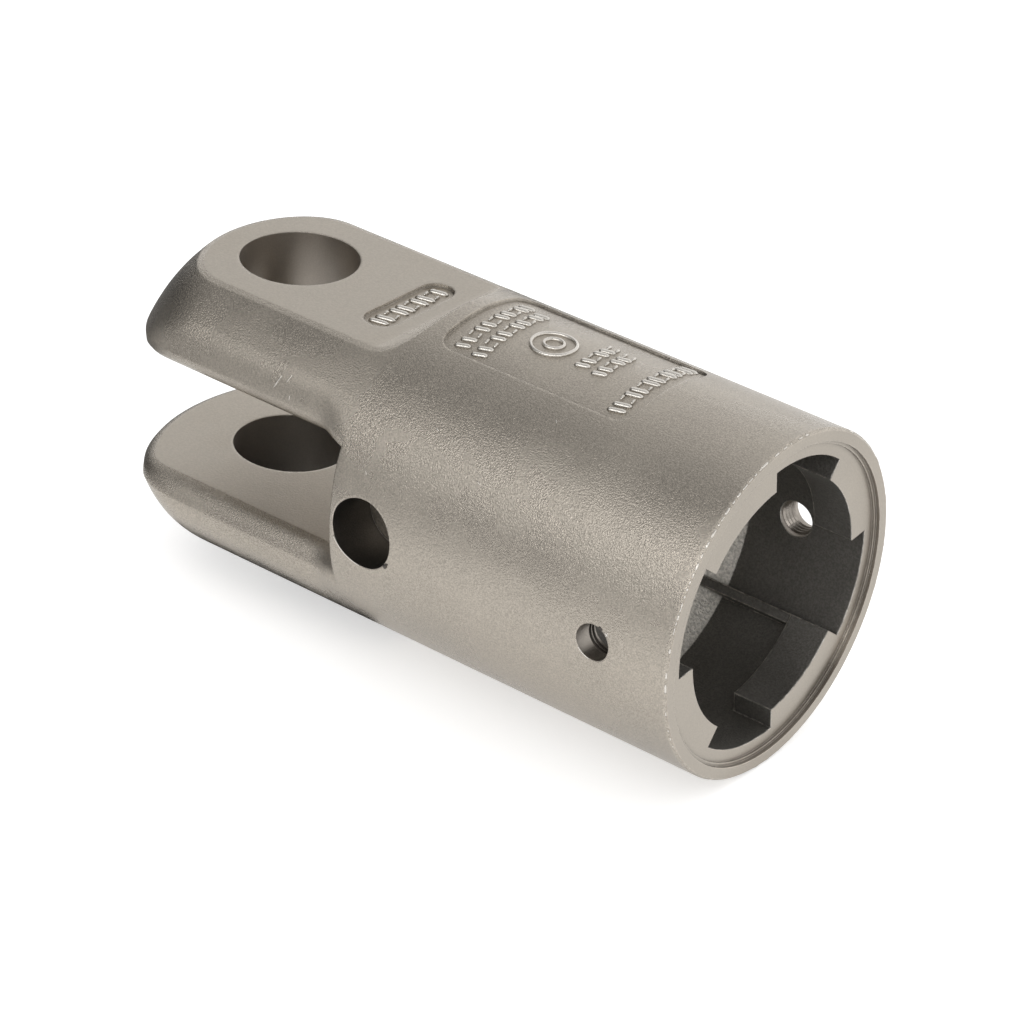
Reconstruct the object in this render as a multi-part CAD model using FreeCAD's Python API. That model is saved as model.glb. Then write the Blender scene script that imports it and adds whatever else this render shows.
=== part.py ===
import FreeCAD, Part
import math
import os

Vector = FreeCAD.Vector

# Cast body of an overhead swivel: a round socket barrel with a two-eared fork on its other end.
# The origin is where the pin axis crosses the barrel's axis.
# +X runs along the barrel to the open mouth, +Z runs along the pin, and all lengths are millimetres.

# Barrel and domed nose
BARREL_RADIUS = 38.0
MOUTH_X = 129.8
RIM_CHAMFER = 0.5
NOSE_SHOULDER_X = -4.2
NOSE_REACH = 28.0

# Ears of the fork
EAR_FLAT_CUT = 6.3
EAR_FLAT_END_X = 37.2
EAR_FLAT_RAMP = 8.75
EAR_SIDE_CUT = 6.8
EAR_SIDE_END_X = 32.2
EAR_SIDE_RUNOUT = 7.6
EAR_SIDE_BLEND = 10.6
EAR_INNER_CHAMFER = 3.0
EAR_CHAMFER_SHARE = 0.63
EAR_INNER_SOFTENING = 1.1
EAR_FLAT_CHAMFER = 0.8
FORK_GAP = 26.5
CROTCH_X = 42.5
CROTCH_FILLET = 2.2
PIN_BORE_RADIUS = 13.0

# Blind hole in the near side, just behind the crotch
LOCK_HOLE_RADIUS = 7.8
LOCK_HOLE_WEB = 1.2
LOCK_HOLE_DEPTH = 12.2

# Two threaded holes through the socket's wall
SCREW_HOLE_X = 111.5
SCREW_HOLE_RADIUS = 4.0

# Socket: stepped rim, cavity and four bayonet lugs
RIM_STEP_WALL = 2.85
RIM_STEP_DEPTH = 0.85
LUG_SEAT_WALL = 3.6
LUG_SEAT_DEPTH = 1.4
CAVITY_WALL = 6.2
CAVITY_END_X = 95.0
CAVITY_END_CHAMFER = 5.0
LUG_COUNT = 4
LUG_HEIGHT = 4.6
LUG_LENGTH = 9.5
LUG_WIDTH_DEG = 46.6
FIRST_LUG_DEG = 30.8
STOP_LUG_INDEX = 3
STOP_RIB_WIDTH_DEG = 4.3
STOP_RIB_HEIGHT = 4.2

# Shallow recesses for cast marks
STRIP_START_X = 26.6
STRIP_LENGTH = 8.0
STRIP_WIDTH = 25.4
STRIP_DEPTH = 0.8
PANEL_START_X = 49.9
PANEL_LENGTH = 48.9
PANEL_HALF_ANGLE_DEG = 22.9
PANEL_CORNER = 3.8
PANEL_DEPTH = 0.6

# Room that cutting shapes have past the surface they cut, and the tolerance for finding an edge
OVERCUT = 4.0
SAME = 0.02

NOSE_TIP_X = NOSE_SHOULDER_X - NOSE_REACH
EAR_FLAT_Z = BARREL_RADIUS - EAR_FLAT_CUT
EAR_SIDE_Y = BARREL_RADIUS - EAR_SIDE_CUT
RIM_STEP_RADIUS = BARREL_RADIUS - RIM_STEP_WALL
LUG_SEAT_RADIUS = BARREL_RADIUS - LUG_SEAT_WALL
CAVITY_RADIUS = BARREL_RADIUS - CAVITY_WALL
LUG_INNER_RADIUS = CAVITY_RADIUS - LUG_HEIGHT
STOP_RIB_INNER_RADIUS = CAVITY_RADIUS - STOP_RIB_HEIGHT
LOCK_HOLE_X = CROTCH_X + LOCK_HOLE_WEB + LOCK_HOLE_RADIUS
BARREL_AXIS = Vector(1, 0, 0)
ORIGIN = Vector(0, 0, 0)


def segment(start, end):
    return Part.makeLine(start, end)


def prism(edges, direction):
    return Part.Face(Part.Wire(edges)).extrude(direction)


def edges_where(shape, keep):
    return [edge for edge in shape.Edges if keep(edge.BoundBox)]


def barrel_with_nose():
    """Revolve the barrel and its elliptical nose as one profile about the barrel's axis."""
    tip = Vector(NOSE_TIP_X, 0, 0)
    shoulder = Vector(NOSE_SHOULDER_X, 0, BARREL_RADIUS)
    ellipse = Part.Ellipse(shoulder, tip, Vector(NOSE_SHOULDER_X, 0, 0))
    nose = Part.ArcOfEllipse(ellipse, 0, math.pi / 2)
    rim = Vector(MOUTH_X, 0, BARREL_RADIUS)
    mouth_centre = Vector(MOUTH_X, 0, 0)
    profile = Part.Wire([
        nose.toShape(),
        segment(shoulder, rim),
        segment(rim, mouth_centre),
        segment(mouth_centre, tip),
    ])
    barrel = Part.Face(profile).revolve(ORIGIN, BARREL_AXIS, 360)
    rim_edges = edges_where(barrel, lambda box: box.XMin > MOUTH_X - SAME)
    return barrel.makeChamfer(RIM_CHAMFER, rim_edges)


def runout_cutter(level, end_x, radius, outward, across):
    """Prism that cuts everything past a level as far as end_x, then curves outward to leave the barrel."""
    start_x = NOSE_TIP_X - OVERCUT
    diagonal = radius * math.sqrt(0.5)
    corner = Vector(end_x, 0, 0) + outward * level
    arc_middle = corner + Vector(diagonal, 0, 0) + outward * (radius - diagonal)
    arc_end = corner + Vector(radius, 0, 0) + outward * radius
    far_start = Vector(start_x, 0, 0) + outward * (level + radius)
    near_start = Vector(start_x, 0, 0) + outward * level
    cutter = prism([
        segment(near_start, corner),
        Part.Arc(corner, arc_middle, arc_end).toShape(),
        segment(arc_end, far_start),
        segment(far_start, near_start),
    ], across * (2 * (BARREL_RADIUS + OVERCUT)))
    cutter.translate(across * -(BARREL_RADIUS + OVERCUT))
    return cutter


def cut_ear_sides(body):
    """Flatten the ears' sides and blend them broadly into the round barrel and the nose."""
    for side in (1, -1):
        outward = Vector(0, side, 0)
        body = body.cut(runout_cutter(EAR_SIDE_Y, EAR_SIDE_END_X, EAR_SIDE_RUNOUT, outward, Vector(0, 0, 1)))
    outline = edges_where(
        body,
        lambda box: box.YMin * box.YMax > (EAR_SIDE_Y - SAME) ** 2
        and not (box.XLength < SAME and abs(box.XMin - EAR_SIDE_END_X) < SAME),
    )
    return body.makeFillet(EAR_SIDE_BLEND, outline)


def cut_ear_flats(body):
    """Cut the outer flats, which end in a ramp up to the barrel."""
    for side in (1, -1):
        outward = Vector(0, 0, side)
        body = body.cut(runout_cutter(EAR_FLAT_Z, EAR_FLAT_END_X, EAR_FLAT_RAMP, outward, Vector(0, 1, 0)))
    return body


def lies_at_height(box, height):
    return box.ZLength < 2 * SAME and abs(abs(box.ZMin) - height) < SAME


def cut_fork_gap(body):
    """Cut the gap between the ears, turn its edges in three facets and round its two inner corners."""
    gap_length = CROTCH_X - NOSE_TIP_X + OVERCUT
    gap_width = 2 * (BARREL_RADIUS + OVERCUT)
    body = body.cut(Part.makeBox(
        gap_length, gap_width, FORK_GAP,
        Vector(CROTCH_X - gap_length, -gap_width / 2, -FORK_GAP / 2),
    ))
    inner_edges = edges_where(
        body,
        lambda box: lies_at_height(box, FORK_GAP / 2) and box.XMin < CROTCH_X - SAME,
    )
    blend_start_z = math.sqrt(BARREL_RADIUS ** 2 - EAR_SIDE_Y ** 2 - 2 * EAR_SIDE_BLEND * EAR_SIDE_CUT)
    inner_chamfer = min(EAR_INNER_CHAMFER, EAR_CHAMFER_SHARE * (blend_start_z - FORK_GAP / 2))
    body = body.makeChamfer(inner_chamfer, inner_edges)
    chamfer_top = FORK_GAP / 2 + 1.15 * inner_chamfer
    facet_edges = edges_where(
        body,
        lambda box: box.XMin < CROTCH_X - SAME and box.ZLength < EAR_INNER_SOFTENING / 2
        and FORK_GAP / 2 - SAME < abs(box.Center.z) < chamfer_top,
    )
    body = body.makeChamfer(EAR_INNER_SOFTENING, facet_edges)
    flat_edges = edges_where(
        body,
        lambda box: lies_at_height(box, EAR_FLAT_Z) and box.XMin < EAR_FLAT_END_X - SAME,
    )
    body = body.makeChamfer(EAR_FLAT_CHAMFER, flat_edges)
    corner_edges = edges_where(
        body,
        lambda box: lies_at_height(box, FORK_GAP / 2) and box.XMin > CROTCH_X - SAME
        and box.XLength < SAME,
    )
    return body.makeFillet(CROTCH_FILLET, corner_edges)


def cylinder(radius, start, end):
    return Part.makeCylinder(radius, (end - start).Length, start, end - start)


def sector(inner, outer, start_x, end_x, centre_deg, width_deg):
    """Ring sector about the barrel's axis, with angles measured from +Y towards +Z."""
    points = []
    for radius, turn in ((inner, -0.5), (outer, -0.5), (outer, 0.0), (outer, 0.5), (inner, 0.5), (inner, 0.0)):
        angle = math.radians(centre_deg + turn * width_deg)
        points.append(Vector(start_x, radius * math.cos(angle), radius * math.sin(angle)))
    low_in, low_out, mid_out, high_out, high_in, mid_in = points
    return prism([
        segment(low_in, low_out),
        Part.Arc(low_out, mid_out, high_out).toShape(),
        segment(high_out, high_in),
        Part.Arc(high_in, mid_in, low_in).toShape(),
    ], Vector(end_x - start_x, 0, 0))


def socket_space():
    """Everything that is open inside the socket: stepped mouth, slots between the lugs and cavity."""
    lug_face_x = MOUTH_X - LUG_SEAT_DEPTH
    cavity = cylinder(CAVITY_RADIUS, Vector(CAVITY_END_X, 0, 0), Vector(lug_face_x, 0, 0))
    floor_edges = edges_where(cavity, lambda box: box.XMax < CAVITY_END_X + SAME)
    cavity = cavity.makeChamfer(CAVITY_END_CHAMFER, floor_edges)
    overlap = CAVITY_RADIUS + OVERCUT
    for index in range(LUG_COUNT):
        centre = FIRST_LUG_DEG + index * 360.0 / LUG_COUNT
        cavity = cavity.cut(sector(
            LUG_INNER_RADIUS, overlap, lug_face_x - LUG_LENGTH, lug_face_x, centre, LUG_WIDTH_DEG,
        ))
    rib_centre = (
        FIRST_LUG_DEG + STOP_LUG_INDEX * 360.0 / LUG_COUNT
        + LUG_WIDTH_DEG / 2 - STOP_RIB_WIDTH_DEG / 2
    )
    cavity = cavity.cut(sector(
        STOP_RIB_INNER_RADIUS, overlap, CAVITY_END_X - OVERCUT, lug_face_x, rib_centre, STOP_RIB_WIDTH_DEG,
    ))
    seat = cylinder(LUG_SEAT_RADIUS, Vector(lug_face_x, 0, 0), Vector(MOUTH_X, 0, 0))
    step = cylinder(RIM_STEP_RADIUS, Vector(MOUTH_X - RIM_STEP_DEPTH, 0, 0), Vector(MOUTH_X + OVERCUT, 0, 0))
    return cavity.fuse(seat).fuse(step)


def lock_hole():
    near_wall = Vector(LOCK_HOLE_X, -BARREL_RADIUS - OVERCUT, 0)
    floor = Vector(LOCK_HOLE_X, LOCK_HOLE_DEPTH - BARREL_RADIUS, 0)
    return cylinder(LOCK_HOLE_RADIUS, near_wall, floor)


def screw_holes():
    reach = BARREL_RADIUS + OVERCUT
    return cylinder(SCREW_HOLE_RADIUS, Vector(SCREW_HOLE_X, -reach, 0), Vector(SCREW_HOLE_X, reach, 0))


def rounded_plate(start_x, length, width, corner, low_z, high_z):
    plate = Part.makeBox(length, width, high_z - low_z, Vector(start_x, -width / 2, low_z))
    upright = edges_where(plate, lambda box: box.ZLength > 0.9 * (high_z - low_z))
    return plate.makeFillet(corner, upright)


def strip_recess():
    floor_z = EAR_FLAT_Z - STRIP_DEPTH
    corner = STRIP_LENGTH / 2 - 0.01
    return rounded_plate(STRIP_START_X, STRIP_LENGTH, STRIP_WIDTH, corner, floor_z, EAR_FLAT_Z + 1)


def panel_recess():
    width = 2 * BARREL_RADIUS * math.sin(math.radians(PANEL_HALF_ANGLE_DEG))
    plate = rounded_plate(
        PANEL_START_X, PANEL_LENGTH, width, PANEL_CORNER, BARREL_RADIUS / 2, BARREL_RADIUS + OVERCUT,
    )
    core = cylinder(BARREL_RADIUS - PANEL_DEPTH, ORIGIN, Vector(MOUTH_X, 0, 0))
    return plate.cut(core)


def swivel_body():
    body = barrel_with_nose()
    body = cut_ear_sides(body)
    body = cut_ear_flats(body)
    body = cut_fork_gap(body)
    pin_reach = Vector(0, 0, BARREL_RADIUS + OVERCUT)
    body = body.cut(cylinder(PIN_BORE_RADIUS, -pin_reach, pin_reach))
    body = body.cut(strip_recess())
    body = body.cut(panel_recess())
    body = body.cut(lock_hole())
    body = body.cut(screw_holes())
    return body.cut(socket_space())


def main():
    os.makedirs("parts", exist_ok=True)
    body = swivel_body()
    body.exportStep("parts/swivel_body.step")
    print("swivel_body", body.isValid(), len(body.Solids), round(body.Volume), body.BoundBox)


main()
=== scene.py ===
import math
import random
from typing import NamedTuple

import bmesh
import bpy
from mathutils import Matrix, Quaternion, Vector
from mathutils.bvhtree import BVHTree


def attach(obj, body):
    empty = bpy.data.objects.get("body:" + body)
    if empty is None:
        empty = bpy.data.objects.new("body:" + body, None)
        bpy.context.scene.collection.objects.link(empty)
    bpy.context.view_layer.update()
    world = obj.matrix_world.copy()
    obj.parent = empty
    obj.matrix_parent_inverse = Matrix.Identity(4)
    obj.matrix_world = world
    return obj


# Looks of the overhead swivel body: a grit-blasted stainless casting on a white floor.
# All lengths are metres, in the row's own frame: +X along the barrel, +Z along the pin.

MM = 0.001

# Driving sizes shared with the solid
BARREL_RADIUS = 38.0 * MM
EAR_FLAT_Z = 31.7 * MM
FORK_HALF_GAP = 13.25 * MM
PIN_BORE_RADIUS = 13.0 * MM
MOUTH_X = 129.8 * MM
LUG_FACE_X = 128.4 * MM
CROTCH_X = 42.5 * MM
CAVITY_RADIUS = 31.8 * MM
CAVITY_END_X = 95.0 * MM
CAVITY_CONE = 5.0 * MM
LOCK_HOLE_X = 51.5 * MM
LOCK_HOLE_RADIUS = 7.8 * MM
LOCK_HOLE_FLOOR_Y = -25.8 * MM
SCREW_HOLE_X = 111.5 * MM
SCREW_HOLE_RADIUS = 4.0 * MM
STRIP_FLOOR_Z = 30.9 * MM
PANEL_FLOOR_RADIUS = 37.4 * MM

# The cone at the cavity's end wall takes the lighter end-wall colour below this level, as painted light,
# and the darker socket colour above it, as painted shade
END_WALL_LIT_BELOW_Z = 2.0 * MM
# The facets of the ears' inner edges reach this far from the fork gap's faces
EAR_FACET_REACH = 3.6 * MM
# Room allowed when a face is matched to a size of the solid
SAME = 0.1 * MM

# Camera
CAMERA_PLACE = Vector((498.5, -585.6, 404.7)) * MM
CAMERA_AZIMUTH = math.radians(36.747)
CAMERA_ELEVATION = math.radians(29.332)
CAMERA_ROLL = math.radians(4.155)
CAMERA_LENS = 140.15

# Metal
METAL_COLOR = (0.48, 0.435, 0.375)
BORE_COLOR = (0.44, 0.40, 0.355)
# Dark copy of the metal for the lock hole's wall and the near screw hole's wall facing -X: painted shade
HOLE_SHADED_COLOR = (0.15, 0.14, 0.13)
# Darker copy of the metal for the mouth's step walls: painted shade
GROOVE_SHADED_COLOR = (0.35, 0.32, 0.29)
# Darker copy of the metal inside the socket: painted shade
SOCKET_SHADED_COLOR = (0.255, 0.243, 0.225)
# Lighter copy of the metal for the lower part of the cavity's end cone: painted light
END_WALL_LIT_COLOR = (0.58, 0.55, 0.50)
# Lighter copy of the metal for the raised marks' polished tops and for the nicks, rim lines and scratches,
# where it is painted glint and highlight
MARK_COLOR = (0.80, 0.76, 0.70)
# Dark copy of the metal for the near screw hole's thread, as painted shade; the far thread keeps the
# bore's colour, and the dark burrs use this colour too
THREAD_SHADE = (0.11, 0.10, 0.09)

# Painted shade in corners and creases: the metal's colour darkens where ambient occlusion finds nearby
# surfaces
CORNER_SHADE_REACH = 1.0 * MM
CORNER_SHADE_LEVEL = 0.45
STAIN_SIZE = 22.0 * MM
EDGE_NICK_SIZE = 2.2 * MM


class Finish(NamedTuple):
    """One finish of the metal, with its lengths in millimetres."""

    color: tuple
    roughness: float
    grain_size: float
    grain_height: float
    speckle: float
    edge_radius: float
    edge_gain: float


# The edge_gain column brightens the colour along edges, partly wear and partly painted highlight, most on
# the shaded socket and groove walls
BODY_FINISHES = {
    "cast_skin": Finish(METAL_COLOR, 0.26, 0.34, 0.13, 0.17, 0.8, 0.35),
    "rounded_edge": Finish(METAL_COLOR, 0.27, 0.34, 0.13, 0.17, 2.4, 0.10),
    "ear_flat": Finish(METAL_COLOR, 0.38, 0.45, 0.06, 0.06, 1.0, 0.10),
    "machined_face": Finish(METAL_COLOR, 0.32, 0.35, 0.03, 0.06, 0.30, 0.55),
    "shaded_groove_wall": Finish(GROOVE_SHADED_COLOR, 0.30, 0.35, 0.02, 0.05, 0.22, 1.1),
    "bore_wall": Finish(BORE_COLOR, 0.42, 0.35, 0.04, 0.05, 0.25, 0.2),
    "shaded_hole_wall": Finish(HOLE_SHADED_COLOR, 0.40, 0.35, 0.05, 0.10, 0.25, 0.3),
    "hole_floor": Finish(METAL_COLOR, 0.45, 0.60, 0.10, 0.20, 0.25, 0.2),
    "shaded_socket_wall": Finish(SOCKET_SHADED_COLOR, 0.55, 0.45, 0.12, 0.16, 0.55, 2.6),
    "lit_end_wall": Finish(END_WALL_LIT_COLOR, 0.60, 0.60, 0.30, 0.25, 0.5, 0.1),
}
DETAIL_FINISHES = {
    "mark_and_glint_metal": Finish(MARK_COLOR, 0.20, 0.30, 0.05, 0.04, 0.1, 0.0),
    "far_thread_metal": Finish(BORE_COLOR, 0.30, 0.30, 0.02, 0.04, 0.1, 0.0),
    "shaded_near_thread_metal": Finish(THREAD_SHADE, 0.30, 0.30, 0.02, 0.04, 0.1, 0.0),
}

# Light tent: degrees round the barrel's axis from +Y towards +Z, and brightness at its right and left
TENT_RADIUS = 0.50
TENT_START_X = -0.9
TENT_END_X = 0.6
TENT_FADE_X = (-0.36, -0.10)
TENT_SEGMENTS = 96
TENT_LEVELS = [
    (0.0, 1.22, 1.30), (20.0, 0.96, 1.00), (35.0, 0.88, 0.88), (55.0, 0.78, 0.75), (75.0, 0.70, 0.62),
    (92.0, 0.54, 0.42), (105.0, 0.41, 0.33), (118.0, 0.39, 0.28), (130.0, 0.64, 0.29), (140.0, 1.75, 0.38),
    (148.0, 2.90, 0.50), (157.0, 1.10, 0.41), (168.0, 0.28, 0.34), (180.0, 0.20, 0.30),
]
LEFT_WALL_LEVEL = 0.10

# Cards on the paper, seen in the metal only: x range, y range, height above the paper and level
CARDS = [
    # The two grey cards on the left darken the paper there as the metal sees it: painted shade of the
    # paper's shaded side
    ((-0.9, -0.060), (-0.5, 0.5), 0.3 * MM, 0.20),
    ((-0.9, -0.010), (-0.5, -0.068), 0.5 * MM, 0.52),
    # Near-black card just under the body: painted shadow, the paper's contact shadow as the metal sees it
    ((-0.020, 0.040), (-0.024, 0.024), 0.7 * MM, 0.02),
    ((0.133, 0.600), (-0.5, 0.5), 0.3 * MM, 0.97),
]

# White paper, as the camera and the metal see it, just under the body
FLOOR_REACH = 6.0
FLOOR_DROP = 0.05 * MM
PAPER_FOR_CAMERA = 0.84
GLOW_FOR_CAMERA = 0.50
PAPER_IN_METAL = 0.72
GLOW_IN_METAL = 0.35

# Raised cast marks on the floors of the recesses
STROKE_SIDES = 10
MARK_WIDTH = 1.3 * MM
PIP_WIDTH = 1.75 * MM
PIP_HALF_LENGTH = 0.25 * MM
PIP_PLACES = (0.16, 0.84)
MARK_LEAN = (0.22, 0.72)
# Each row: height in mm, start and end along the barrel and across it in mm, and number of marks
STRIP_ROWS = [(0.70, 28.3, 32.7, -10.8, 10.8, 10)]
PANEL_ROWS = [
    (0.57, 53.2, 56.6, -13.5, 9.8, 11),
    (0.57, 58.0, 61.4, -14.0, 8.5, 11),
    (0.57, 78.0, 81.2, -5.4, 7.0, 6),
    (0.57, 82.6, 85.8, -5.8, 6.4, 6),
    (0.57, 92.4, 96.4, -13.2, 13.0, 14),
]
RING_CENTRE = (69.9 * MM, -1.4 * MM)
RING_WIDTH = 0.85 * MM
RING_HEIGHT = 0.57 * MM
# Each ring: radius along the barrel and across it in mm, and number of steps round it
PANEL_RINGS = [(4.9, 4.6, 28), (2.2, 2.0, 20)]

# Nicks along the mouth's edge, drawn in the bright metal so that they are partly painted highlight, in
# spans of degrees from the top towards -Y, each with its mean gap
RIM_CHAMFER = 0.5 * MM
RIM_NICK_SEED = 7
RIM_NICK_SPANS = [(-6.0, 18.0, 3.5), (18.0, 74.0, 0.9), (74.0, 120.0, 5.0), (150.0, 330.0, 9.0)]
RIM_NICK_LENGTHS = (0.4, 2.4)
RIM_NICK_WIDTHS = (0.26, 0.50)
RIM_NICK_DRIFT = 0.06
RIM_NICK_GAP_SHARES = (0.3, 1.7)
RIM_NICK_RISE_SHARE = 0.42
RIM_NICK_RISE_MOST = 0.13 * MM
# Nicks on the lugs' front faces, in the bright metal so partly painted highlight: degrees, place outwards
# and length in mm
SEAT_NICK_RADIUS = 33.6 * MM
SEAT_NICK_WIDTH = 0.26 * MM
SEAT_NICK_HEIGHT = 0.10 * MM
SEAT_NICKS = [(37.0, 0.4, 1.5), (44.0, 0.2, 1.0), (49.5, 0.5, 1.7), (52.5, 0.1, 0.7), (21.0, 0.3, 1.2)]
# Each scar or burr on the near side: start and end as (x, z), width and height in mm
SCAR_STEPS = 4
# Bright scratches and a cross burr, drawn in the bright metal: partly painted glints
BARREL_SCARS = [
    ((114.1, 3.3), (115.1, 2.9), 0.30, 0.08),
    ((114.9, 3.6), (114.5, 2.5), 0.26, 0.08),
    ((76.2, 20.1), (77.1, 19.6), 0.20, 0.05),
    ((50.0, 13.6), (50.5, 12.6), 0.20, 0.05),
    ((85.0, 32.6), (85.7, 32.3), 0.16, 0.04),
    ((62.0, 25.2), (62.9, 24.9), 0.16, 0.04),
    ((98.3, 22.4), (98.8, 22.0), 0.16, 0.04),
]
HOLE_BURRS = [
    ((57.7, -5.4), (58.5, -4.5), 0.9, 0.22),
    ((58.2, -4.4), (58.9, -4.1), 0.5, 0.14),
    ((112.6, 4.05), (113.5, 3.6), 0.60, 0.08),
]
# Bright scratches on the upper ear, in the bright metal: partly painted glints
EAR_SCARS = [
    ((20.7, 19.8), (22.1, 22.9), 0.34, 0.08),
    ((23.6, 21.8), (24.5, 23.7), 0.30, 0.07),
    ((25.1, 18.4), (25.2, 19.7), 0.26, 0.06),
]

# Painted highlight lines on the two near holes: thin bright beads along part of each rim, with middle x,
# radius, first and last degree from +X towards +Z
LIP_WIDTH = 0.26 * MM
LIP_HEIGHT = 0.06 * MM
LIP_STEPS = 18
HOLE_RIM_HIGHLIGHTS = [
    (LOCK_HOLE_X, LOCK_HOLE_RADIUS + 0.12 * MM, 203.0, 266.0),
    (SCREW_HOLE_X, SCREW_HOLE_RADIUS + 0.10 * MM, 214.0, 262.0),
]

# Thread of the two small cross holes: start and end from the barrel's axis, and depth
NEAR_THREAD = (31.9 * MM, 34.0 * MM, 0.22 * MM)
FAR_THREAD = (32.5 * MM, 37.1 * MM, 0.42 * MM)
THREAD_PITCH = 1.0 * MM
THREAD_STEPS_PER_TURN = 40
THREAD_TAPERS_PER_TURN = 4.0
THREAD_ROOT_SUNK = 0.03 * MM
# Half widths of the ridge's root and crest, as shares of the pitch
THREAD_ROOT_HALF = 0.46
THREAD_CREST_HALF = 0.06

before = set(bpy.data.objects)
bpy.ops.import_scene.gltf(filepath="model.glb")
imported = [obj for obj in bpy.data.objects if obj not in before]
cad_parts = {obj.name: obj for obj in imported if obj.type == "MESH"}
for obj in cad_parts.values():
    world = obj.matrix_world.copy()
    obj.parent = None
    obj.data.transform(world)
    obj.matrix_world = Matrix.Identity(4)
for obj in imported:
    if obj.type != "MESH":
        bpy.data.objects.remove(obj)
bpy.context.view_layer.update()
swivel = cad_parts["swivel_body"]
skin = BVHTree.FromPolygons(
    [vertex.co.copy() for vertex in swivel.data.vertices],
    [tuple(polygon.vertices) for polygon in swivel.data.polygons],
)


class Graph:
    """Adds shader nodes to one tree and wires their sockets."""

    def __init__(self, tree):
        self.tree = tree
        tree.nodes.clear()

    def add(self, kind, inputs=None, **settings):
        node = self.tree.nodes.new("ShaderNode" + kind)
        for name, value in settings.items():
            setattr(node, name, value)
        for name, value in (inputs or {}).items():
            socket = node.inputs[name]
            if isinstance(value, bpy.types.NodeSocket):
                self.tree.links.new(value, socket)
            else:
                socket.default_value = value
        return node.outputs

    def math(self, operation, first, second=0.0):
        return self.add("Math", {0: first, 1: second}, operation=operation)[0]

    def blend(self, factor, first, second):
        return self.add("Mix", {"Factor": factor, "A": first, "B": second}, data_type="FLOAT")["Result"]

    def smooth(self, value, low, high, out_low=0.0, out_high=1.0):
        inputs = {"Value": value, "From Min": low, "From Max": high, "To Min": out_low, "To Max": out_high}
        return self.add("MapRange", inputs, interpolation_type="SMOOTHSTEP")["Result"]

    def noise(self, place, size, detail=2.0, roughness=0.6):
        inputs = {"Vector": place, "Scale": 1.0 / size, "Detail": detail, "Roughness": roughness}
        return self.add("TexNoise", inputs)["Fac"]


def new_graph(name):
    material = bpy.data.materials.new(name)
    material.use_nodes = True
    material.cycles.emission_sampling = "NONE"
    return material, Graph(material.node_tree)


def cast_metal(name, finish):
    """Blasted or machined stainless steel: fine grain, slow stains, soft edges brightened partly as wear
    and partly as painted highlight, and painted shade in corners.
    """
    material, graph = new_graph(name)
    place = graph.add("TexCoord")["Object"]
    grain = graph.noise(place, finish.grain_size * MM)
    stain = graph.noise(place, STAIN_SIZE, detail=3.0, roughness=0.55)
    # Edges: the colour lightens along bevelled edges, broken up by noise, partly as wear and partly as
    # painted highlight
    softened = graph.add("Bevel", {"Radius": finish.edge_radius * MM}, samples=4)["Normal"]
    flat = graph.add("NewGeometry")["Normal"]
    along = graph.add("VectorMath", {0: softened, 1: flat}, operation="DOT_PRODUCT")["Value"]
    edge = graph.smooth(along, 0.985, 0.90)
    nicks = graph.smooth(graph.noise(place, EDGE_NICK_SIZE, detail=3.0), 0.38, 0.60, 0.35, 1.0)
    worn_and_highlit = graph.math("MULTIPLY", edge, nicks)
    tone = graph.smooth(stain, 0.3, 0.7, 0.95, 1.04)
    fleck = graph.smooth(grain, 0.3, 0.72, 1.0 - finish.speckle, 1.0 + finish.speckle)
    tone = graph.math("MULTIPLY", tone, fleck)
    tone = graph.math("MULTIPLY", tone, graph.smooth(worn_and_highlit, 0.0, 1.0, 1.0, 1.0 + finish.edge_gain))
    # Painted shade: the colour darkens in corners and creases, by ambient occlusion
    openness = graph.add("AmbientOcclusion", {"Distance": CORNER_SHADE_REACH}, samples=4)["AO"]
    tone = graph.math("MULTIPLY", tone, graph.smooth(openness, 0.25, 0.95, CORNER_SHADE_LEVEL, 1.0))
    tinted = graph.add("VectorMath", {0: finish.color, "Scale": tone}, operation="SCALE")["Vector"]
    rough = graph.math("ADD", graph.smooth(stain, 0.35, 0.65, -0.04, 0.05), finish.roughness)
    rough = graph.math("SUBTRACT", rough, graph.math("MULTIPLY", worn_and_highlit, 0.10))
    bump = graph.add("Bump", {
        "Height": grain,
        "Distance": finish.grain_height * MM,
        "Strength": 1.0,
        "Normal": softened,
    })
    shader = graph.add("BsdfPrincipled", {
        "Base Color": tinted,
        "Metallic": 1.0,
        "Roughness": rough,
        "Normal": bump["Normal"],
    })
    graph.add("OutputMaterial", {"Surface": shader["BSDF"]})
    return material


def mesh_object(name, vertices, faces):
    mesh = bpy.data.meshes.new(name)
    mesh.from_pydata(vertices, [], faces)
    thing = bpy.data.objects.new(name, mesh)
    bpy.context.scene.collection.objects.link(thing)
    return thing


def seen_in_metal_only(thing):
    thing.visible_camera = False
    thing.visible_diffuse = False
    thing.visible_transmission = False
    thing.visible_volume_scatter = False
    thing.visible_shadow = False


def panel(name, corners, level=None):
    """Flat stage piece; one with a grey level glows at it and is seen in the metal only."""
    thing = mesh_object(name, corners, [(0, 1, 2, 3)])
    if level is not None:
        material, graph = new_graph(name)
        glow = graph.add("Emission", {"Color": (level, level, level, 1.0), "Strength": 1.0})
        graph.add("OutputMaterial", {"Surface": glow["Emission"]})
        thing.data.materials.append(material)
        seen_in_metal_only(thing)
    return thing


def level_corners(xs, ys, z):
    return [(xs[0], ys[0], z), (xs[1], ys[0], z), (xs[1], ys[1], z), (xs[0], ys[1], z)]


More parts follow.
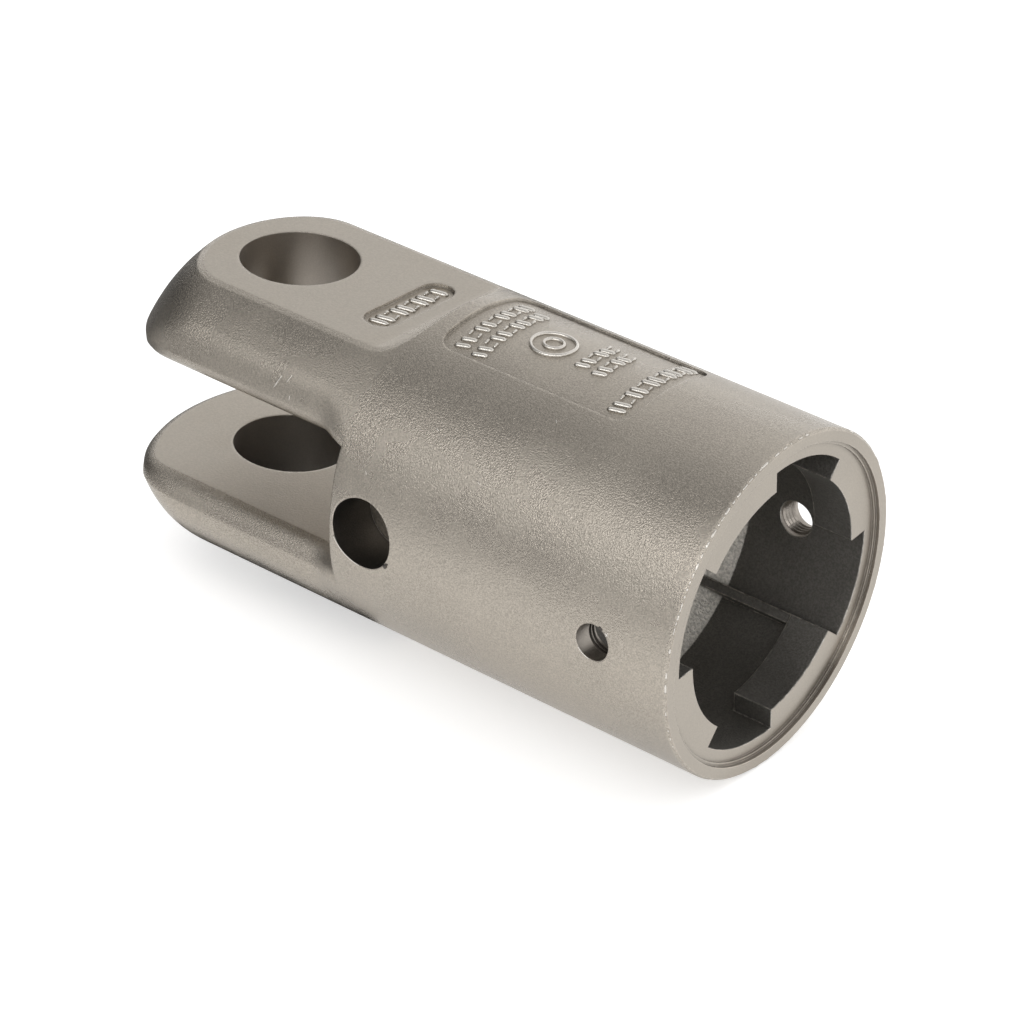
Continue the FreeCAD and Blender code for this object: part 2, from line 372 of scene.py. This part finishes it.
def build_tent():
    """Soft tent round the barrel's axis, whose brightness goes with the angle from +Y to +Z."""
    vertices = []
    for x in (TENT_START_X, TENT_END_X):
        for index in range(TENT_SEGMENTS):
            angle = 2 * math.pi * index / TENT_SEGMENTS
            vertices.append((x, TENT_RADIUS * math.cos(angle), TENT_RADIUS * math.sin(angle)))
    faces = []
    for index in range(TENT_SEGMENTS // 2):
        following = index + 1
        faces.append((index, following, TENT_SEGMENTS + following, TENT_SEGMENTS + index))
    tent = mesh_object("light_tent", vertices, faces)
    material, graph = new_graph("light_tent")
    parts = graph.add("SeparateXYZ", {0: graph.add("TexCoord")["Object"]})
    angle = graph.math("ARCTAN2", parts["Z"], parts["Y"])
    factor = graph.add("MapRange", {"Value": angle, "From Min": 0.0, "From Max": math.pi})["Result"]
    sides = []
    for column in (1, 2):
        ramp = graph.tree.nodes.new("ShaderNodeValToRGB")
        graph.tree.links.new(factor, ramp.inputs[0])
        stops = ramp.color_ramp.elements
        while len(stops) < len(TENT_LEVELS):
            stops.new(0.5)
        for stop, row in zip(stops, TENT_LEVELS):
            stop.position = row[0] / 180.0
            stop.color = (row[column], row[column], row[column], 1.0)
        ramp.color_ramp.interpolation = "EASE"
        sides.append(ramp.outputs["Color"])
    to_right = graph.smooth(parts["X"], TENT_FADE_X[0], TENT_FADE_X[1])
    level = graph.blend(to_right, sides[1], sides[0])
    glow = graph.add("Emission", {"Strength": level})
    graph.add("OutputMaterial", {"Surface": glow["Emission"]})
    tent.data.materials.append(material)
    seen_in_metal_only(tent)
    low, high = -TENT_RADIUS, TENT_RADIUS
    wall = [(TENT_START_X, y, z) for y, z in ((low, low), (high, low), (high, high), (low, high))]
    panel("tent_left_wall", wall, LEFT_WALL_LEVEL)
    for index, (xs, ys, lift, card_level) in enumerate(CARDS):
        panel(f"grey_card_{index}", level_corners(xs, ys, lift - BARREL_RADIUS), card_level)


def build_floor():
    """White paper, white to the camera and in the metal, that keeps the body's shadow."""
    sides = (-FLOOR_REACH, FLOOR_REACH)
    floor = panel("floor", level_corners(sides, sides, -BARREL_RADIUS - FLOOR_DROP))
    material, graph = new_graph("floor")
    path = graph.add("LightPath")
    camera = path["Is Camera Ray"]
    mirrored = graph.math("ADD", path["Is Glossy Ray"], path["Is Transmission Ray"])
    white = graph.math("MINIMUM", graph.math("ADD", camera, mirrored), 1.0)
    paper_level = graph.blend(camera, PAPER_IN_METAL, PAPER_FOR_CAMERA)
    glow_level = graph.math("MULTIPLY", white, graph.blend(camera, GLOW_IN_METAL, GLOW_FOR_CAMERA))
    paper = graph.add("BsdfDiffuse", {"Color": paper_level})
    glow = graph.add("Emission", {"Strength": glow_level})
    both = graph.add("AddShader", {0: paper["BSDF"], 1: glow["Emission"]})
    graph.add("OutputMaterial", {"Surface": both["Shader"]})
    floor.data.materials.append(material)


def build_world():
    world = bpy.data.worlds.new("studio")
    world.use_nodes = True
    graph = Graph(world.node_tree)
    white = graph.add("Background", {"Color": (1.0, 1.0, 1.0, 1.0), "Strength": 1.0})
    graph.add("OutputWorld", {"Surface": white["Background"]})
    bpy.context.scene.world = world


def build_camera():
    data = bpy.data.cameras.new("camera")
    data.lens = CAMERA_LENS
    data.sensor_width = 36.0
    camera = bpy.data.objects.new("camera", data)
    bpy.context.scene.collection.objects.link(camera)
    level = math.cos(CAMERA_ELEVATION)
    back = Vector((
        math.sin(CAMERA_AZIMUTH) * level,
        -math.cos(CAMERA_AZIMUTH) * level,
        math.sin(CAMERA_ELEVATION),
    ))
    camera.location = CAMERA_PLACE
    camera.rotation_mode = "QUATERNION"
    camera.rotation_quaternion = (-back).to_track_quat("-Z", "Y") @ Quaternion((0, 0, 1), CAMERA_ROLL)
    bpy.context.scene.camera = camera


def finish_of(place, normal):
    """Name of the finish at one place of the casting."""
    from_axis = math.hypot(place.y, place.z)
    from_pin = math.hypot(place.x, place.y)
    from_screw_hole = math.hypot(place.x - SCREW_HOLE_X, place.z)
    from_lock_hole = math.hypot(place.x - LOCK_HOLE_X, place.z)
    above_gap = abs(place.z) - FORK_HALF_GAP
    faces_along_y = abs(normal.y) >= 0.3
    in_screw_hole = from_screw_hole < SCREW_HOLE_RADIUS + SAME and abs(place.y) > CAVITY_RADIUS - MM
    in_lock_hole = from_lock_hole < LOCK_HOLE_RADIUS + SAME and place.y < LOCK_HOLE_FLOOR_Y + MM
    # At the mouth, faces turned +X keep the machined finish, and the rest, such as the step walls, take
    # the darker groove colour as painted shade
    if place.x > LUG_FACE_X - 2 * SAME and (normal.x > 0.9 or from_axis < BARREL_RADIUS - 0.6 * MM):
        return "machined_face" if normal.x > 0.5 else "shaded_groove_wall"
    # The near screw hole's wall facing -X takes the dark hole colour as painted shade; the rest keeps the
    # bore's colour
    if in_screw_hole and not faces_along_y:
        return "bore_wall" if place.y > 0.0 or normal.x > -0.5 else "shaded_hole_wall"
    # Inside the socket the walls take the darker colour as painted shade, and the end cone's lower part
    # the lighter colour as painted light
    if CAVITY_END_X - MM < place.x and from_axis < CAVITY_RADIUS + 2 * SAME:
        on_cone = place.x < CAVITY_END_X + CAVITY_CONE + 2 * SAME and 0.5 < normal.x < 0.9
        return "lit_end_wall" if on_cone and place.z < END_WALL_LIT_BELOW_Z else "shaded_socket_wall"
    if in_lock_hole and place.y > SAME - BARREL_RADIUS:
        if place.y > LOCK_HOLE_FLOOR_Y - MM:
            return "hole_floor"
        # The lock hole's wall takes the dark hole colour as painted shade
        if not faces_along_y:
            return "shaded_hole_wall"
    if from_pin < PIN_BORE_RADIUS + SAME:
        return "bore_wall"
    if abs(normal.z) > 0.99 and abs(place.z) < EAR_FLAT_Z + SAME:
        return "ear_flat"
    faces_gap = normal.z * place.z < -0.1 * abs(place.z)
    if place.x < CROTCH_X - 0.5 * MM and 0.02 * MM < above_gap < EAR_FACET_REACH and faces_gap:
        return "rounded_edge"
    return "cast_skin"


def paint_body():
    """Give the casting its blasted skin, and smoother slots to its machined faces."""
    names = list(BODY_FINISHES)
    swivel.data.materials.clear()
    for name in names:
        swivel.data.materials.append(cast_metal(name, BODY_FINISHES[name]))
    for polygon in swivel.data.polygons:
        polygon.material_index = names.index(finish_of(polygon.center, polygon.normal))


def finish_piece(thing, material, smooth=True):
    """Turn a closed detail's faces outwards, give it its metal and let it ride on the body."""
    mesh = bmesh.new()
    mesh.from_mesh(thing.data)
    bmesh.ops.recalc_face_normals(mesh, faces=mesh.faces)
    mesh.to_mesh(thing.data)
    mesh.free()
    thing.data.materials.append(material)
    for polygon in thing.data.polygons:
        polygon.use_smooth = smooth
    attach(thing, "root")


class Strokes:
    """Rounded raised strokes laid on a surface, half sunk in it, gathered into one mesh."""

    def __init__(self, on_surface):
        self.on_surface = on_surface
        self.vertices = []
        self.faces = []

    def add(self, path, width, height, closed=False):
        """Sweep an oval along path, a list of (u, v) points in metres on the surface."""
        count = len(path)
        rings = []
        for index, (u, v) in enumerate(path):
            if closed:
                before, after = path[index - 1], path[(index + 1) % count]
                scale = 1.0
            else:
                before, after = path[max(index - 1, 0)], path[min(index + 1, count - 1)]
                scale = 0.55 if index in (0, count - 1) else 1.0
            along = Vector((after[0] - before[0], after[1] - before[1])).normalized()
            ring = []
            for side in range(STROKE_SIDES):
                angle = 2 * math.pi * side / STROKE_SIDES
                across = 0.5 * width * scale * math.cos(angle)
                rise = height * scale * math.sin(angle)
                place = self.on_surface(u - along.y * across, v + along.x * across, rise)
                ring.append(len(self.vertices))
                self.vertices.append(place)
            rings.append(ring)
        pairs = list(zip(rings, rings[1:]))
        if closed:
            pairs.append((rings[-1], rings[0]))
        else:
            self.faces.append(tuple(reversed(rings[0])))
            self.faces.append(tuple(rings[-1]))
        for low, high in pairs:
            for side in range(STROKE_SIDES):
                following = (side + 1) % STROKE_SIDES
                self.faces.append((low[side], low[following], high[following], high[side]))

    def line(self, start, end, width, height, steps=6):
        path = []
        for index in range(steps + 1):
            share = index / steps
            path.append((start[0] + (end[0] - start[0]) * share, start[1] + (end[1] - start[1]) * share))
        self.add(path, width, height)

    def ring(self, centre, radius_u, radius_v, width, height, steps):
        path = []
        for index in range(steps):
            angle = 2 * math.pi * index / steps
            path.append((centre[0] + radius_u * math.cos(angle), centre[1] + radius_v * math.sin(angle)))
        self.add(path, width, height, closed=True)

    def build(self, name, material):
        finish_piece(mesh_object(name, self.vertices, self.faces), material)


def on_panel(u, v, rise):
    """Place on the panel's floor: u along the barrel, v round it from the top towards +Y."""
    angle = v / PANEL_FLOOR_RADIUS
    radius = PANEL_FLOOR_RADIUS + rise
    return Vector((u, radius * math.sin(angle), radius * math.cos(angle)))


def on_strip(u, v, rise):
    return Vector((u, v, STRIP_FLOOR_Z + rise))


def row_of_marks(strokes, row):
    """Row of parallel leaning strokes, with a pair of round pips in every third place."""
    *sizes, count = row
    height, low_u, high_u, start_v, end_v = (size * MM for size in sizes)
    pitch = (end_v - start_v) / count
    for index in range(count):
        left, right = (start_v + pitch * (index + share) for share in MARK_LEAN)
        if index % 3 == 2:
            middle = (left + right) / 2
            for share in PIP_PLACES:
                u = low_u + (high_u - low_u) * share
                ends = (u - PIP_HALF_LENGTH, middle), (u + PIP_HALF_LENGTH, middle)
                strokes.line(*ends, PIP_WIDTH, height, steps=3)
        else:
            strokes.line((low_u, left), (high_u, right), MARK_WIDTH, height)


def build_marks(material):
    """Plain raised pattern in both recesses: strokes, pips and two concentric rings, with no lettering."""
    strip = Strokes(on_strip)
    for row in STRIP_ROWS:
        row_of_marks(strip, row)
    strip.build("strip_marks", material)
    middle = Strokes(on_panel)
    for row in PANEL_ROWS:
        row_of_marks(middle, row)
    for radius_u, radius_v, steps in PANEL_RINGS:
        middle.ring(RING_CENTRE, radius_u * MM, radius_v * MM, RING_WIDTH, RING_HEIGHT, steps)
    middle.build("panel_marks", material)


def on_rim(u, v, rise):
    """Place on the mouth's outer chamfer: u round it from the top towards -Y, v across it."""
    angle = u / BARREL_RADIUS
    slope = math.sqrt(0.5)
    radius = BARREL_RADIUS - RIM_CHAMFER / 2 + (rise - v) * slope
    x = MOUTH_X - RIM_CHAMFER / 2 + (rise + v) * slope
    return Vector((x, -radius * math.sin(angle), radius * math.cos(angle)))


def on_barrel(u, v, rise):
    """Place on the barrel's near side at x = u and z = v."""
    angle = math.asin(v / BARREL_RADIUS)
    radius = BARREL_RADIUS + rise
    return Vector((u, -radius * math.cos(angle), radius * math.sin(angle)))


def on_ear(u, v, rise):
    """Place on the upper ear's near side at x = u and z = v."""
    place, normal, _, _ = skin.ray_cast(Vector((u, -2 * BARREL_RADIUS, v)), Vector((0.0, 1.0, 0.0)))
    return place + normal * rise


def on_seat(u, v, rise):
    """Place on the lugs' front faces: u round the mouth from the top towards -Y, v outwards."""
    radius = SEAT_NICK_RADIUS + v
    angle = u / SEAT_NICK_RADIUS
    return Vector((LUG_FACE_X + rise, -radius * math.sin(angle), radius * math.cos(angle)))


def build_mouth_nicks_and_glints(material):
    dice = random.Random(RIM_NICK_SEED)
    rim = Strokes(on_rim)
    for first_deg, last_deg, gap_deg in RIM_NICK_SPANS:
        angle = first_deg
        while angle < last_deg:
            length = dice.uniform(*RIM_NICK_LENGTHS) * MM
            start = math.radians(angle) * BARREL_RADIUS
            drift = dice.uniform(-RIM_NICK_DRIFT, RIM_NICK_DRIFT) * MM
            width = dice.uniform(*RIM_NICK_WIDTHS) * MM
            rise = min(width * RIM_NICK_RISE_SHARE, RIM_NICK_RISE_MOST)
            rim.line((start, 0.0), (start + length, drift), width, rise, SCAR_STEPS)
            angle += math.degrees(length / BARREL_RADIUS) + dice.uniform(*RIM_NICK_GAP_SHARES) * gap_deg
    rim.build("rim_nicks_and_glints", material)


def build_seat_nicks_and_glints(material):
    seat = Strokes(on_seat)
    for degrees, outward, length in SEAT_NICKS:
        start = math.radians(degrees) * SEAT_NICK_RADIUS
        ends = (start, outward * MM), (start + length * MM, outward * MM)
        seat.line(*ends, SEAT_NICK_WIDTH, SEAT_NICK_HEIGHT, SCAR_STEPS)
    seat.build("seat_nick_and_glint_strokes", material)


def build_hole_rim_highlights(material):
    # Painted highlight: bright beads along arcs of the two near holes' rims
    rim_highlights = Strokes(on_barrel)
    for middle_x, radius, first_deg, last_deg in HOLE_RIM_HIGHLIGHTS:
        path = []
        for index in range(LIP_STEPS + 1):
            angle = math.radians(first_deg + (last_deg - first_deg) * index / LIP_STEPS)
            path.append((middle_x + radius * math.cos(angle), radius * math.sin(angle)))
        rim_highlights.add(path, LIP_WIDTH, LIP_HEIGHT)
    rim_highlights.build("hole_rim_highlights", material)


def build_scars(name, on_surface, rows, material):
    scars = Strokes(on_surface)
    for start, end, width, rise in rows:
        first = (start[0] * MM, start[1] * MM)
        last = (end[0] * MM, end[1] * MM)
        scars.line(first, last, width * MM, rise * MM, SCAR_STEPS)
    scars.build(name, material)


def build_wear(bright, dark):
    """Nicks and short scratches in bright metal, partly painted glints, painted highlight lines on the
    rims of two holes, and dark burrs at two of the holes.
    """
    build_mouth_nicks_and_glints(bright)
    build_seat_nicks_and_glints(bright)
    build_hole_rim_highlights(bright)
    build_scars("barrel_scars", on_barrel, BARREL_SCARS, bright)
    build_scars("hole_burrs", on_barrel, HOLE_BURRS, dark)
    build_scars("ear_scars", on_ear, EAR_SCARS, bright)


def build_thread(name, side, reach, material):
    """Ridge of a screw thread inside one small cross hole, tapering off at both ends."""
    start, end, depth = reach
    steps = int(THREAD_STEPS_PER_TURN * (end - start) / THREAD_PITCH)
    root = SCREW_HOLE_RADIUS + THREAD_ROOT_SUNK
    vertices = []
    for index in range(steps + 1):
        turns = index / THREAD_STEPS_PER_TURN
        turns_left = (steps - index) / THREAD_STEPS_PER_TURN
        taper = min(1.0, THREAD_TAPERS_PER_TURN * turns, THREAD_TAPERS_PER_TURN * turns_left)
        crest = SCREW_HOLE_RADIUS - depth * max(taper, 0.02)
        angle = 2 * math.pi * turns
        level = start + THREAD_PITCH * turns
        profile = (
            (root, -THREAD_ROOT_HALF),
            (crest, -THREAD_CREST_HALF),
            (crest, THREAD_CREST_HALF),
            (root, THREAD_ROOT_HALF),
        )
        for radius, shift in profile:
            x = SCREW_HOLE_X + radius * math.cos(angle)
            z = radius * math.sin(angle)
            vertices.append((x, side * (level + shift * THREAD_PITCH), z))
    faces = [(3, 2, 1, 0), tuple(4 * steps + corner for corner in range(4))]
    for index in range(steps):
        for corner in range(4):
            following = (corner + 1) % 4
            low, high = 4 * index, 4 * index + 4
            faces.append((low + corner, low + following, high + following, high + corner))
    finish_piece(mesh_object(name, vertices, faces), material, smooth=False)


bpy.context.scene.view_settings.view_transform = "Standard"
build_world()
build_floor()
build_tent()
build_camera()
paint_body()
details = {name: cast_metal(name, finish) for name, finish in DETAIL_FINISHES.items()}
build_marks(details["mark_and_glint_metal"])
build_wear(details["mark_and_glint_metal"], details["shaded_near_thread_metal"])
build_thread("near_screw_thread", -1, NEAR_THREAD, details["shaded_near_thread_metal"])
build_thread("far_screw_thread", 1, FAR_THREAD, details["far_thread_metal"])
